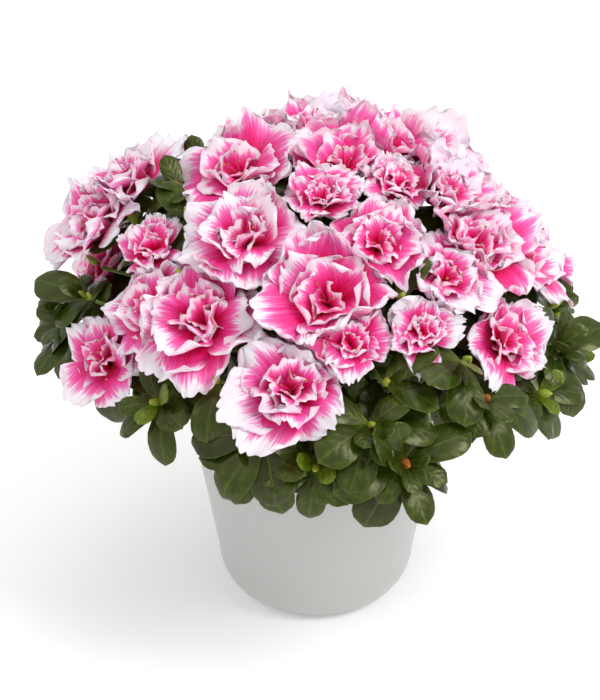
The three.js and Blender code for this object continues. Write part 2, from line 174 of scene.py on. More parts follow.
def smooth_line(knots, count):
    """Evenly spaced points of a smooth curve through the knots: each span is blended from
    straight lines whose knots lie at the square roots of the distances between the points."""
    knots = np.array(knots, float)
    padded = np.vstack([2 * knots[0] - knots[1], knots, 2 * knots[-1] - knots[-2]])
    spans = []
    for p in (padded[i : i + 4] for i in range(len(knots) - 1)):
        k = np.concatenate([[0], np.cumsum(np.sqrt(np.linalg.norm(np.diff(p, axis=0), axis=1)))])
        t = np.linspace(k[1], k[2], 80)[:, None]
        blend = list(p)
        for low, high in ((0, 1), (0, 2), (1, 2)):
            blend = [
                ((after - t) * start + (t - before) * end) / (after - before)
                for before, after, start, end in zip(k[low:], k[high:], blend, blend[1:])]
        spans.append(blend[0])
    line = np.vstack(spans)
    gone = np.concatenate([[0], np.cumsum(np.linalg.norm(np.diff(line, axis=0), axis=1))])
    at = np.linspace(0, gone[-1], count)
    return np.stack([np.interp(at, gone, line[:, axis]) for axis in range(3)], axis=1)


def ripple(points, size, seed, waves=24):
    """Smooth noise from about -1 to 1: the mean of sine waves in seeded directions, with
    wavelengths of about the size given, times the root of their number."""
    stream = np.random.default_rng(seed)
    ways = unit(stream.normal(size=(waves, 3))) * (2 * math.pi / size)
    ways = ways * stream.uniform(0.6, 1.6, (waves, 1))
    turns = points @ ways.T + stream.uniform(0, 2 * math.pi, waves)
    return np.sin(turns).mean(axis=-1) * math.sqrt(waves) * 0.7


# ---- meshes from arrays
def fill(items, name, values, kind=np.int32):
    """Sets one property of all the items of a mesh at once."""
    items.foreach_set(name, np.asarray(values).astype(kind).ravel())


def shown(name, data):
    """A new object in the scene, at the origin."""
    made = bpy.data.objects.new(name, data)
    bpy.context.scene.collection.objects.link(made)
    return made


def add_piece(name, points, faces, materials, face_materials=None, uvs=None):
    """A mesh object from points in millimetres and groups of faces, each group an array with one
    row of corners a face. uvs has a place for each corner, in the faces' order."""
    mesh = bpy.data.meshes.new(name)
    corners = np.concatenate([group.ravel() for group in faces])
    sizes = np.concatenate([np.full(len(group), group.shape[1]) for group in faces])
    mesh.vertices.add(len(points))
    mesh.loops.add(len(corners))
    mesh.polygons.add(len(sizes))
    fill(mesh.vertices, "co", points * MM, np.float32)
    fill(mesh.loops, "vertex_index", corners)
    fill(mesh.polygons, "loop_start", np.cumsum(sizes) - sizes)
    fill(mesh.polygons, "loop_total", sizes)
    fill(mesh.polygons, "use_smooth", np.full(len(sizes), True), bool)
    if uvs is not None:
        fill(mesh.uv_layers.new(name=UV_NAME).data, "uv", uvs, np.float32)
    for material in materials:
        mesh.materials.append(material)
    if face_materials is not None:
        fill(mesh.polygons, "material_index", np.concatenate(face_materials))
    mesh.update(calc_edges=True)
    mesh.validate(clean_customdata=False)
    piece = shown(name, mesh)
    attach(piece, "root")
    return piece


def wall_faces(rings, sides):
    """The faces of a closed wall of rings: quads round it, and at each end triangles to a middle
    point. The two middle points are counted after the rings' points."""
    ring, side = np.meshgrid(np.arange(rings - 1), np.arange(sides), indexing="ij")
    here, beside = ring * sides + side, ring * sides + (side + 1) % sides
    quads = np.stack([here, beside, beside + sides, here + sides], axis=-1).reshape(-1, 4)
    side = np.arange(sides)
    after, last = (side + 1) % sides, (rings - 1) * sides
    foot = np.stack([np.full(sides, rings * sides), after, side], axis=1)
    top = np.stack([np.full(sides, rings * sides + 1), last + side, last + after], axis=1)
    return quads, np.vstack([foot, top])


def tubes(paths, radii, guides, sides):
    """Closed tubes round many paths at once: point = path + radius (cos X + sin Y), where X is
    the guide made square to the path and Y is square to both, with a point in each end.
    paths is tubes x rings x 3, and radii is tubes x rings, or tubes x rings x sides. levels and
    owners say which ring and which tube each face belongs to."""
    count, rings, _ = paths.shape
    onward = unit(np.gradient(paths, axis=1))
    x = guides[:, None] - onward * np.sum(guides[:, None] * onward, axis=-1, keepdims=True)
    x = unit(x)
    y = np.cross(onward, x)
    angle = np.linspace(0, 2 * math.pi, sides, endpoint=False)
    if radii.ndim == 2:
        radii = np.repeat(radii[..., None], sides, axis=2)
    out = x[:, :, None] * np.cos(angle)[:, None] + y[:, :, None] * np.sin(angle)[:, None]
    wall = paths[:, :, None] + out * radii[..., None]
    points = np.concatenate([wall.reshape(count, -1, 3), paths[:, :1], paths[:, -1:]], axis=1)
    quads, ends = wall_faces(rings, sides)
    first = np.arange(count)[:, None, None] * points.shape[1]
    levels = [np.repeat(np.arange(rings - 1), sides), np.repeat([0, rings - 2], sides)]
    return SimpleNamespace(
        wall=wall,
        points=points.reshape(-1, 3),
        faces=[(quads + first).reshape(-1, 4), (ends + first).reshape(-1, 3)],
        levels=[np.tile(group, count) for group in levels],
        owners=[np.repeat(np.arange(count), len(group)) for group in (quads, ends)],
    )


def lathed(profile, sides, ripples=None):
    """A closed solid of revolution about Z: (r cos a, r sin a, z) for each profile point, whose
    first and last points are on the axis. ripples moves its wall points."""
    angle = np.linspace(0, 2 * math.pi, sides, endpoint=False)
    radius, height = np.array(profile[1:-1], float).T
    wall = np.stack(np.broadcast_arrays(
        radius[:, None] * np.cos(angle), radius[:, None] * np.sin(angle), height[:, None]), axis=-1)
    if ripples is not None:
        wall = ripples(wall)
    points = np.vstack([wall.reshape(-1, 3), [0, 0, profile[0][1]], [0, 0, profile[-1][1]]])
    return points, list(wall_faces(len(radius), sides))


def joined(parts):
    """Several (points, face groups) as one, with the later faces counted on, grouped by size."""
    firsts = np.concatenate([[0], np.cumsum([len(points) for points, _ in parts])[:-1]])
    groups = {}
    for first, (_, faces) in zip(firsts, parts):
        for group in faces:
            groups.setdefault(group.shape[1], []).append(group + first)
    points = np.vstack([points for points, _ in parts])
    return points, [np.vstack(group) for group in groups.values()]


def blades(grid, roots, start, toward, lengths, angles, half_widths, fall, lift):
    """Leaves and petals, many at once, as thin closed sheets on a grid of shares s along and t
    across. The middle line runs from its root at the way T = start cos(angle) + toward
    sin(angle), summed over s times the length. A point is middle + across t half_width + N lift
    - T fall, where N = start sin(angle) - toward cos(angle) is the upper side's way. Returns the
    points (blades x rows x columns x 3) and N."""
    steps = np.diff(grid.s, prepend=0)
    turns = (angles + np.concatenate([angles[:, :1], angles[:, :-1]], axis=1)) / 2

    def way(shares, other_shares):
        return start[:, None] * shares[..., None] + toward[:, None] * other_shares[..., None]

    along = way(np.cos(turns), np.sin(turns)) * (steps * lengths[:, None])[..., None]
    middle = roots[:, None] + np.cumsum(along, axis=1)
    onward, above = way(np.cos(angles), np.sin(angles)), way(np.sin(angles), -np.cos(angles))
    across = np.cross(start, toward)
    top = (
        middle[:, :, None]
        + across[:, None, None] * (grid.t * half_widths[..., None])[..., None]
        + above[:, :, None] * lift[..., None]
        - onward[:, :, None] * fall[..., None]
    )
    return top, above


def sheet_faces(rows, columns):
    """The corners of one sheet's upper and lower faces. The lower side shares the rim's points
    and has its own inside the rim."""
    upper = np.arange(rows * columns).reshape(rows, columns)
    lower = upper.copy()
    inside = lower[1:-1, 1:-1]
    inside[:] = upper.size + np.arange(inside.size).reshape(inside.shape)
    top = np.stack([upper[:-1, :-1], upper[1:, :-1], upper[1:, 1:], upper[:-1, 1:]], axis=-1)
    under = np.stack([lower[:-1, :-1], lower[:-1, 1:], lower[1:, 1:], lower[1:, :-1]], axis=-1)
    return top.reshape(-1, 4), under.reshape(-1, 4)


# The UV map has four by four tiles. A leaf or a petal lies on one, inside its edge: columns are
# versions of the pattern, rows say how old or how rich it is, and the last is the lower side's.
UV_NAME = "OFBake"
TILES, TILE_EDGE, UNDER_ROW = 4, 0.04, 3


def sheet_piece(name, batches, material, thickness):
    """One piece of many thin closed blades. A batch has a grid, the things that are blades, their
    upper points and their upper sides' ways. The lower side is the thickness below the upper
    one, and both meet at the rim. A thing's column and row say which tile it lies on."""
    parts, uvs = [], []
    for grid, things, top, above in batches:
        tile = np.array([(thing.column, thing.row) for thing in things])
        under_tile = np.array([(thing.column, UNDER_ROW) for thing in things])
        count, rows, columns, _ = top.shape
        inner = top[:, 1:-1, 1:-1] - above[:, 1:-1, None] * thickness
        points = np.concatenate([top.reshape(count, -1, 3), inner.reshape(count, -1, 3)], axis=1)
        upper, lower = sheet_faces(rows, columns)
        first = np.arange(count)[:, None, None] * points.shape[1]
        s, t = np.meshgrid(grid.s, grid.t, indexing="ij")
        flat = np.stack([0.5 + 0.5 * t, s], axis=-1) * (1 - 2 * TILE_EDGE) + TILE_EDGE
        flat = np.vstack([flat.reshape(-1, 2), flat[1:-1, 1:-1].reshape(-1, 2)])
        parts.append((points.reshape(-1, 3), [
            (corners + first).reshape(-1, 4) for corners in (upper, lower)]))
        for corners, tiles in ((upper, tile), (lower, under_tile)):
            uvs.append(((flat[corners] + tiles[:, None, None]) / TILES).reshape(-1, 2))
    points, faces = joined(parts)
    piece = add_piece(name, points, faces, [material], uvs=np.concatenate(uvs))
    piece.data.set_sharp_from_angle(angle=math.radians(130))
    return piece


def grid_of(s, columns):
    """A blade's shares along, and evenly spaced shares from -1 to 1 across."""
    return SimpleNamespace(s=np.array(s, float), t=np.linspace(-1, 1, columns))


# ---- the rule: sprays and shoots
CROWN_MIDDLE = np.array([0, 0, CROWN.middle], float)
CROWN_SIZE = np.array([CROWN.half_width, CROWN.half_width, CROWN.rise])
SIDE_GUIDE = np.array([0.3, 1, 0.2])
UP = np.array([0, 0, 1.0])


def spray_list():
    """The heart of each spray, its name and the height of its bough's root."""
    return [
        SimpleNamespace(
            name=row if count == 1 else f"{row}_{index + 1}",
            heart=direction(polar, turn + 360 / count * index),
            root=roots[index % len(roots)],
            shoots=[],
        )
        for row, polar, count, turn, roots in SPRAYS
        for index in range(count)
    ]


def shoot_list():
    """Every shoot's end, its ways outward and facing, its kind and its own numbers."""
    shoots = []
    for ring, (polar, turn, nod, slots) in enumerate(RINGS):
        for slot, letter in enumerate(slots):
            if letter == ".":
                continue
            bloom, seat, leaves, leaf_length, tilt = SHOOTS[letter]
            random = Stream(ring * RING_SEED + slot + 1)
            own_polar = polar + random.spread(JITTER.polar)
            azimuth = turn + slot * SLOT_ANGLE + random.spread(JITTER.azimuth)
            outward = direction(own_polar, azimuth)
            place = CROWN_MIDDLE + outward * CROWN_SIZE * (seat + random.spread(JITTER.seat))
            facing = direction(own_polar * TO_LIGHT + (0 if bloom else nod), azimuth)
            facing = unit(facing + WINDOW.pull * direction(WINDOW.polar, WINDOW.azimuth))
            shoots.append(SimpleNamespace(
                bloom=bloom, leaves=leaves, leaf_length=leaf_length, tilt=tilt, place=place,
                outward=outward, facing=facing, random=random,
                fine=Stream(FINE_SEED + ring * RING_SEED + slot)))
    return shoots


def space_walls(spray, sprays):
    """The walls of a spray's space: (way in, a point) of the plane halfway to each other heart."""
    return [
        (unit(spray.heart - other.heart), CROWN_MIDDLE) for other in sprays if other is not spray]


def flower_walls(shoot, shoots):
    """The walls between a flower and its neighbours, each nearer to the smaller one: the way
    from the neighbour, a point of the wall, and whether the neighbour is the smaller."""
    walls = []
    for other in shoots:
        gap = np.linalg.norm(other.place - shoot.place)
        if other is not shoot and other.bloom and gap < 2 * LARGEST_BLOOM:
            share = shoot.bloom / (shoot.bloom + other.bloom)
            point = shoot.place + (other.place - shoot.place) * share
            larger = (shoot.bloom, shoot.place[2]) > (other.bloom, other.place[2])
            walls.append((unit(shoot.place - other.place), point, larger))
    return walls


def share_in_space(root, tip, walls):
    """How far a line from root to tip may go before it meets a wall, as a share of its length."""
    share = 1.0
    for way, point in walls:
        at_root = np.dot(way, root - point) - CLEAR
        at_tip = np.dot(way, tip - point) - CLEAR
        if at_tip < 0:
            share = min(share, max(0.0, at_root / (at_root - at_tip)))
    return share


TRUNK_POINTS = 61
trunk_line = smooth_line([
    (-TRUNK.lean / 2, 0, SOIL.top + CLEAR),
    (-TRUNK.lean / 2, 0, SOIL.top + 8),
    (TRUNK.lean / 3, TRUNK.lean / 4, SOIL.top + 22),
    (TRUNK.lean / 2, 0, TRUNK.top),
], TRUNK_POINTS)


def bough_curve(spray):
    """The start, bend and tip of the bough that carries a spray."""
    along = min(1, (spray.root - trunk_line[0, 2]) / (TRUNK.top - trunk_line[0, 2]))
    start = trunk_line[round((TRUNK_POINTS - 1) * along)]
    tip = CROWN_MIDDLE + spray.heart * BOUGH.reach
    if along == 1:
        onward = unit(trunk_line[-1] - trunk_line[-2])
        return start, start + onward * BOUGH.bend * np.linalg.norm(tip - start), tip
    return start, start + (tip - start) * BOUGH.bend - UP * BOUGH.sag, tip


def stem_curve(spray):
    """The start, bend and end of the spray's stem, which runs on from its bough's tip."""
    _, bend, tip = bough_curve(spray)
    onward = unit(tip - bend)
    end = CROWN_MIDDLE + spray.heart * STEM.reach
    return tip, tip + onward * STEM.bend * np.linalg.norm(end - tip), end


def grow_sprays():
    """The sprays with their walls and stems. Each shoot goes to the spray it points along most."""
    grown = spray_list()
    for shoot in shoot_list():
        max(grown, key=lambda spray: np.dot(spray.heart, shoot.outward)).shoots.append(shoot)
    for spray in grown:
        spray.walls, spray.stem = space_walls(spray, grown), stem_curve(spray)
    return grown


twigs, leaves, buds = [], [], []


def grow_twig(spray, curve, size, guide):
    """Adds a twig to the plant."""
    twigs.append(SimpleNamespace(
        spray=spray, curve=curve, radius=size.radius, tip=size.tip_radius, guide=guide))


def grow_leaf(spray, root, along, above, length, row, fine):
    """Adds a leaf, which leaves its root along a way and bends away from above and a little
    down. Its row says how old it is: 0 old, 1 mature, 2 young."""
    back = across_of(-above * (1 - BLADE.droop) - UP * BLADE.droop, along)
    leaves.append(SimpleNamespace(
        spray=spray, root=root, along=along, back=back, length=length, row=row,
        half=length * BLADE.width / 2 * (0.92 + 0.2 * fine()),
        curl=BLADE.curl + (0 if row else BLADE.old_curl) + fine.spread(0.45),
        fold=0.12 + 0.3 * fine(), wave=fine() * 2 * math.pi,
        twist=fine.spread(0.4), column=int(fine() * TILES)))


def grow_whorl(spray, place, facing, side, kind, draw, fine, young=False):
    """Adds a whorl of leaves by the source's draws: turn, tilt and length for each leaf, from
    old ones that lie flat or bend back to young ones that stand up."""
    for leaf in range(kind.leaves):
        age = ((leaf * 3) % kind.leaves) / kind.leaves
        turn = (leaf + 0.5 + 0.16 * (draw() - 0.5)) / kind.leaves
        tilt = math.radians(kind.tilt + (OLD_TILT - kind.tilt) * age + 14 * (draw() - 0.5))
        length = kind.leaf_length * (0.8 + 0.2 * age + 0.16 * (draw() - 0.5))
        outward = turned(side, facing, 2 * math.pi * turn)
        along = facing * math.cos(tilt) + outward * math.sin(tilt)
        above = facing * math.sin(tilt) - outward * math.cos(tilt)
        share = share_in_space(place, place + along * length, spray.walls)
        if share > 0.5:
            row = 2 if young and age < 0.3 else 0 if age > 0.6 else 1
            grow_leaf(spray, place, along, above, length * share, row, fine)


def grow_side_twig(spray, foot, way, rise, guide, kind, fine, young_share=0):
    """Adds a short twig with a small whorl on its end, where there is room for it."""
    end = foot + way * (kind.reach + kind.more * fine())
    seat = np.linalg.norm((end - CROWN_MIDDLE) / CROWN_SIZE)
    if seat > kind.seat or share_in_space(foot, end, spray.walls) < 1 or end[2] < kind.lowest:
        return
    grow_twig(spray, (foot, (foot + end) / 2 + rise * kind.rise, end), SIDE_TWIG, guide)
    young = young_share > 0 and fine() < young_share
    grow_whorl(spray, end, way, across_of(guide, way), kind, fine, fine, young)


def grow_inside(spray, fine):
    """Side twigs along a spray's stem, which fill the crown from the inside."""
    onward = unit(spray.stem[2] - spray.stem[0])
    for knot in range(INNER.knots):
        foot = bezier(*spray.stem, INNER.first + INNER.step * knot)
        turn = INNER.turn * knot + fine.spread(INNER.sway)
        away = turned(across_of(SIDE_GUIDE, onward), onward, turn)
        grow_side_twig(spray, foot, unit(onward * INNER.onward + away), onward, onward, INNER, fine)


def grow_shoot(spray, shoot, start):
    """A shoot: its twig from the stem, a collar and a whorl of leaves as in the source, and then
    the finer growth within the same reach."""
    draw, fine, outward, facing = shoot.random, shoot.fine, shoot.outward, shoot.facing
    side = unit(np.cross(facing, SIDE_GUIDE))
    side = turned(side, facing, 2 * math.pi * draw())
    shoot.side, shoot.spray = side, spray
    reach = shoot.place - start
    middle = start + reach * 0.5 - outward * 0.1 * np.linalg.norm(reach)
    twig = (start, middle, shoot.place - facing * 1.6)
    grow_twig(spray, twig, TWIG, side)

    collar_place = bezier(*twig, COLLAR.along)
    collar_way = unit(bezier(*twig, COLLAR.along + 0.01) - collar_place)
    collar_side = across_of(side, collar_way)
    grow_whorl(spray, collar_place, collar_way, collar_side, COLLAR, draw, fine)
    main = SimpleNamespace(
        leaves=shoot.leaves, leaf_length=shoot.leaf_length * WHORL_GROWTH, tilt=shoot.tilt)
    grow_whorl(spray, shoot.place, facing, side, main, draw, fine)
    if not shoot.bloom:
        tier = SimpleNamespace(
            leaves=shoot.leaves - 1, leaf_length=shoot.leaf_length * TIER.size, tilt=TIER.tilt)
        young = fine() < TIER.young
        grow_whorl(spray, shoot.place + facing * TIER.height, facing,
                   turned(side, facing, math.pi / shoot.leaves), tier, fine, fine, young)
        buds.append(SimpleNamespace(
            spray=spray, place=shoot.place + facing * 1.5, way=facing, guide=side,
            size=9 + 3 * fine(), rusty=fine() < RUSTY_SHARE))
    grow_whorl(spray, collar_place - collar_way * LOW.drop, collar_way,
               turned(collar_side, collar_way, LOW.turn), LOW, fine, fine)
    for branch in range(BRANCH.count):
        foot = bezier(*twig, BRANCH.first + BRANCH.step * branch)
        turn = BRANCH.turn + BRANCH.step_turn * branch + fine.spread(BRANCH.sway)
        way = unit(outward + turned(side, outward, turn) * BRANCH.sideways)
        grow_side_twig(spray, foot, way, outward, side, BRANCH, fine, 0 if branch else BRANCH.young)


def hangs_free(leaf):
    """A leaf stays when its tip is clear of the pot and of the boughs' middle, and when no quarter
    of its length ends inside a flower."""
    way = leaf.along * math.cos(leaf.curl / 2) + leaf.back * math.sin(leaf.curl / 2)
    tip = leaf.root + way * leaf.length
    at_pot = tip[2] <= POT.height + KEEP.rim and math.hypot(tip[0], tip[1]) <= POT.rim + KEEP.side
    if at_pot or np.linalg.norm(tip - CROWN_MIDDLE) < KEEP.middle:
        return False
    for flower in flowers:
        for share in (0.25, 0.5, 0.75, 1):
            reach = leaf.root + (tip - leaf.root) * share - flower.place
            height = np.dot(reach, flower.facing)
            off_axis = np.linalg.norm(reach - flower.facing * height)
            high_up = KEEP.low < height / flower.bloom < KEEP.high
            if high_up and off_axis < KEEP.wide * flower.bloom:
                return False
    return True


sprays = grow_sprays()
flowers = [shoot for spray in sprays for shoot in spray.shoots if shoot.bloom]
for number, spray in enumerate(sprays):
    grow_twig(spray, spray.stem, STEM, SIDE_GUIDE)
    grow_inside(spray, Stream(INNER_SEED + number))
    for index, shoot in enumerate(spray.shoots):
        along = STEM.first + STEM.span * index / len(spray.shoots)
        grow_shoot(spray, shoot, bezier(*spray.stem, along))
leaves = [leaf for leaf in leaves if hangs_free(leaf)]


# ---- colours and materials
def linear(colour):
    """An sRGB hex value as linear red, green, blue and full alpha."""
    parts = [int(colour[i : i + 2], 16) / 255 for i in (1, 3, 5)]
    curved = (p / 12.92 if p <= 0.04045 else ((p + 0.055) / 1.055) ** 2.4 for p in parts)
    return (*curved, 1.0)


def add_node(tree, kind, inputs=None, **settings):
    """Adds a shader node. settings are its properties. inputs maps a socket to a value, or to a
    node or a socket that feeds it."""
    made = tree.nodes.new("ShaderNode" + kind)
    for name, value in settings.items():
        setattr(made, name, value)
    for socket, value in (inputs or {}).items():
        if isinstance(value, bpy.types.Node):
            value = next(output for output in value.outputs if output.enabled)
        if isinstance(value, bpy.types.NodeSocket):
            tree.links.new(value, made.inputs[socket])
        else:
            made.inputs[socket].default_value = value
    return made


def new_material(name):
    """A material with an empty tree, and add_node for that tree."""
    material = bpy.data.materials.new(name)
    material.use_nodes = True
    material.node_tree.nodes.clear()
    return material, partial(add_node, material.node_tree)


def finished(material, node, surface):
    """The material, with a shader whose sockets take the values and nodes of surface."""
    node("OutputMaterial", {"Surface": node("BsdfPrincipled", surface)})
    return material


def set_ramp(ramp, stops):
    """Puts (place, colour) stops on a colour ramp node and returns it."""
    ramp.color_ramp.interpolation = "EASE"
    elements = ramp.color_ramp.elements
    while len(elements) < len(stops):
        elements.new(0.5)
    for element, (place, colour) in zip(elements, stops):
        element.position = place
        element.color = linear(colour)
    return ramp


def object_place(node):
    """The point's place in the object's own coordinates."""
    return node("TexCoord").outputs["Object"]


def tile_places(node):
    """Where a point is on its own leaf or petal: shares across, from -1 to 1, and along, from 0
    to 1, and the column and row of its tile."""
    scaled = node("VectorMath", {0: node("UVMap", uv_map=UV_NAME), 1: (TILES, TILES, 1)},
                  operation="MULTIPLY")
    place = node("SeparateXYZ", {0: node("VectorMath", {0: scaled}, operation="FRACTION")})
    tile = node("SeparateXYZ", {0: node("VectorMath", {0: scaled}, operation="FLOOR")})
    across, along = (
        node("MapRange", {0: place.outputs[axis], 1: TILE_EDGE, 2: 1 - TILE_EDGE, 3: low, 4: 1.0})
        for axis, low in enumerate((-1.0, 0.0)))
    return across, along, tile.outputs[0], tile.outputs[1]


def petal_material():
    """Azalea petal: a thin, soft, faintly translucent skin. It is white at its crinkled margin,
    and pink flames run out from a magenta throat between veins that fan out from the foot."""
    material, node = new_material("azalea_petal")
    across, along, column, row = tile_places(node)
    # About seven flames and twenty veins across a petal of 38 mm.
    wide = node("Math", {0: across, 1: 3.6}, operation="MULTIPLY")
    long = node("Math", {0: along, 1: 0.9}, operation="MULTIPLY")
    version = node("Math", {0: column, 1: 7.3, 2: row}, operation="MULTIPLY_ADD")
    place = node("CombineXYZ", {0: wide, 1: long, 2: version})
    flame = node("TexNoise", {"Vector": place, "Scale": 1.0, "Detail": 3.0, "Roughness": 0.6})
    fine_place = node("VectorMath", {0: place, 1: (3.4, 1.6, 1.0)}, operation="MULTIPLY")
    vein = node("TexNoise", {"Vector": fine_place, "Scale": 1.0, "Detail": 2.0})
    # The white margin also runs down the petal's sides: along (1 + 0.34 across^6).
    square = node("Math", {0: across, 1: across}, operation="MULTIPLY")
    side = node("Math", {0: square, 1: 3.0}, operation="POWER")
    wider = node("Math", {0: side, 1: 0.34, 2: 1.0}, operation="MULTIPLY_ADD")
    depth = node("Math", {0: along, 1: wider}, operation="MULTIPLY")
    # Each version of a petal has a wider or a narrower margin, and a richer row a narrow one.
    # Flames and veins then make the margin's inner edge uneven.
    uneven = node("TexWhiteNoise", {"Vector": node("CombineXYZ", {0: column, 1: row})},
                  noise_dimensions="2D")
    for source, weight in ((uneven, 0.16), (row, -0.09), (flame, 0.4), (vein, 0.3)):
        depth = node("Math", {0: source, 1: weight, 2: depth}, operation="MULTIPLY_ADD")
    # Thin veins lie where the fine pattern passes its middle. They are richer by 0.1.
    off_vein = node("Math", {0: vein, 1: 0.5}, operation="SUBTRACT")
    beside_vein = node("Math", {0: off_vein}, operation="ABSOLUTE")
    thin = node("MapRange", {0: beside_vein, 1: 0.0, 2: 0.05, 3: 0.475, 4: 0.375})
    depth = node("Math", {0: depth, 1: thin}, operation="SUBTRACT")
    front = set_ramp(node("ValToRGB", {0: depth}), [
        (0.0, "#b4001a"), (0.15, "#cf003a"), (0.32, "#e4005f"), (0.5, "#ef2c86"), (0.64, "#f55ca6"),
        (0.72, "#f892c5"), (0.76, "#f8cfe6"), (0.8, "#f7eaf6"), (1.0, "#f3eef9")])
    back = set_ramp(node("ValToRGB", {0: depth}), [
        (0.0, "#e01468"), (0.35, "#ee4593"), (0.6, "#f47cb5"), (0.76, "#f8bcda"),
        (0.87, "#faeff7")])
    is_back = node("Math", {0: row, 1: UNDER_ROW - 0.5}, operation="GREATER_THAN")
    return finished(material, node, {
        "Base Color": node("Mix", {0: is_back, 6: front, 7: back}, data_type="RGBA"),
        "Normal": node("Bump", {"Height": vein, "Strength": 0.5, "Distance": 0.0004}),
        "Roughness": 0.5, "Specular IOR Level": 0.3, "Subsurface Weight": 0.5,
        "Subsurface Radius": (1.0, 0.95, 0.98), "Subsurface Scale": 0.002,
        "Sheen Weight": 0.1, "Sheen Roughness": 0.4})


def leaf_material():
    """Azalea leaf: leathery, with a satin upper side. Dark green between a paler midrib and rim,
    yellow-green when young, and dull olive underneath."""
    material, node = new_material("azalea_leaf")
    across, along, column, row = tile_places(node)
    long = node("Math", {0: along, 1: 3.0}, operation="MULTIPLY")
    version = node("Math", {0: column, 1: 5.7, 2: row}, operation="MULTIPLY_ADD")
    place = node("CombineXYZ", {0: across, 1: long, 2: version})
    mottle = node("TexNoise", {"Vector": place, "Scale": 2.2, "Detail": 4.0})
    colour = linear("#161f04")
    for step, tones in enumerate((
        ("#161f04", "#202c06", "#2d3b0b"),  # old
        ("#202c05", "#2d3b08", "#3f500f"),  # mature
        ("#43550b", "#566b10", "#6d811c"),  # young
        ("#384318", "#475124", "#556031"),  # the under side
    )):
        tone = set_ramp(node("ValToRGB", {0: mottle}), list(zip((0.25, 0.5, 0.75), tones)))
        share = node("Math", {0: row, 1: step - 0.5}, operation="GREATER_THAN")
        colour = node("Mix", {0: share, 6: colour, 7: tone}, data_type="RGBA")
    # The midrib is about 0.8 mm wide. It, the foot of the leaf and the rim are yellow-green.
    off_middle = node("Math", {0: across}, operation="ABSOLUTE")
    midrib = node("MapRange", {0: off_middle, 1: 0.02, 2: 0.08, 3: 0.24, 4: 0.0})
    foot = node("MapRange", {0: along, 1: 0.02, 2: 0.26, 3: 0.7, 4: 0.0})
    outward = node("Math", {0: off_middle, 1: along}, operation="MAXIMUM")
    rim = node("MapRange", {0: outward, 1: 0.93, 2: 0.99, 3: 0.0, 4: 0.3})
    inner = node("Math", {0: midrib, 1: foot}, operation="MAXIMUM")
    pale = node("Math", {0: inner, 1: rim}, operation="MAXIMUM")
    colour = node("Mix", {0: pale, 6: colour, 7: linear("#6a7a2c")}, data_type="RGBA")
    # Side veins leave the midrib at a slant, five or six a side.
    slant = node("Math", {0: off_middle, 1: -0.3, 2: along}, operation="MULTIPLY_ADD")
    vein_place = node("CombineXYZ", {0: slant})
    vein = node("TexWave", {"Vector": vein_place, "Scale": 2.0, "Distortion": 0.6}).outputs["Fac"]
    shade = node("Math", {0: vein, 1: 0.05}, operation="MULTIPLY")
    height = node("Math", {0: vein, 1: 0.22, 2: mottle}, operation="MULTIPLY_ADD")
    return finished(material, node, {
        "Base Color": node("Mix", {0: shade, 6: colour, 7: linear("#131c08")}, data_type="RGBA"),
        "Normal": node("Bump", {"Height": height, "Strength": 0.5, "Distance": 0.0006}),
        "Roughness": 0.31, "Specular IOR Level": 0.42, "Specular Tint": linear("#fffbd0")})


def plain_material(name, colour, roughness, relief_size, relief):
    """A plain colour under a fine relief, whose grain is relief_size millimetres."""
    material, node = new_material(name)
    scale = 1 / (relief_size * MM)
    grain = node("TexNoise", {"Vector": object_place(node), "Scale": scale, "Detail": 4.0})
    return finished(material, node, {
        "Base Color": linear(colour), "Roughness": roughness,
        "Normal": node("Bump", {"Height": grain, "Strength": 0.6, "Distance": relief * MM})})


def bark_material():
    """Azalea bark: thin, grey-brown and finely furrowed lengthwise, matte, with paler flakes."""
    material, node = new_material("azalea_bark")
    long_way = node("Mapping", {0: object_place(node), 3: (1, 1, 0.3)})
    furrow = node("TexNoise", {"Vector": long_way, "Scale": 420.0, "Detail": 5.0})
    return finished(material, node, {
        "Base Color": set_ramp(node("ValToRGB", {0: furrow}), [
            (0.3, "#3a2a1f"), (0.5, "#6a5140"), (0.72, "#97826c")]),
        "Normal": node("Bump", {"Height": furrow, "Strength": 0.8, "Distance": 0.0008}),
        "Roughness": 0.85})


def soil_material():
    """Moist peat: dark brown crumbs of 1 to 3 mm with paler fibres, dull and rough."""
    material, node = new_material("moist_peat")
    crumb = node("TexVoronoi", {"Vector": object_place(node), "Scale": 450.0})
    return finished(material, node, {
        "Base Color": set_ramp(node("ValToRGB", {0: crumb}), [
            (0.0, "#241a12"), (0.5, "#3b2a1d"), (0.9, "#5b4733")]),
        "Normal": node("Bump", {"Height": crumb, "Strength": 0.8, "Distance": 0.001}),
        "Roughness": 0.95, "Specular IOR Level": 0.2})


def pot_material():
    """Glazed earthenware: a satin pale grey glaze over turned clay, which gives a broad soft
    shine with faint level rings from the wheel, about 6 mm apart."""
    material, node = new_material("satin_glaze")
    level = node("Mapping", {0: object_place(node), 3: (0.08, 0.08, 1)})
    rings = node("TexNoise", {"Vector": level, "Scale": 160.0, "Detail": 3.0})
    return finished(material, node, {
        "Base Color": linear("#b6b6b4"), "Roughness": 0.36, "Specular IOR Level": 0.5,
        "Normal": node("Bump", {"Height": rings, "Strength": 0.25, "Distance": 0.0005}),
        "Coat Weight": 0.25, "Coat Roughness": 0.3})


PETAL = petal_material()
LEAF = leaf_material()
BARK = bark_material()
SOIL_SKIN = soil_material()
GLAZE = pot_material()
# Twigs of this year are green and smooth, those of last year brown and finely cracked.
GREEN_TWIG = plain_material("green_twig_skin", "#6f7f35", 0.55, 3, 0.2)
BROWN_TWIG = plain_material("brown_twig_bark", "#5a4432", 0.8, 1.5, 0.4)
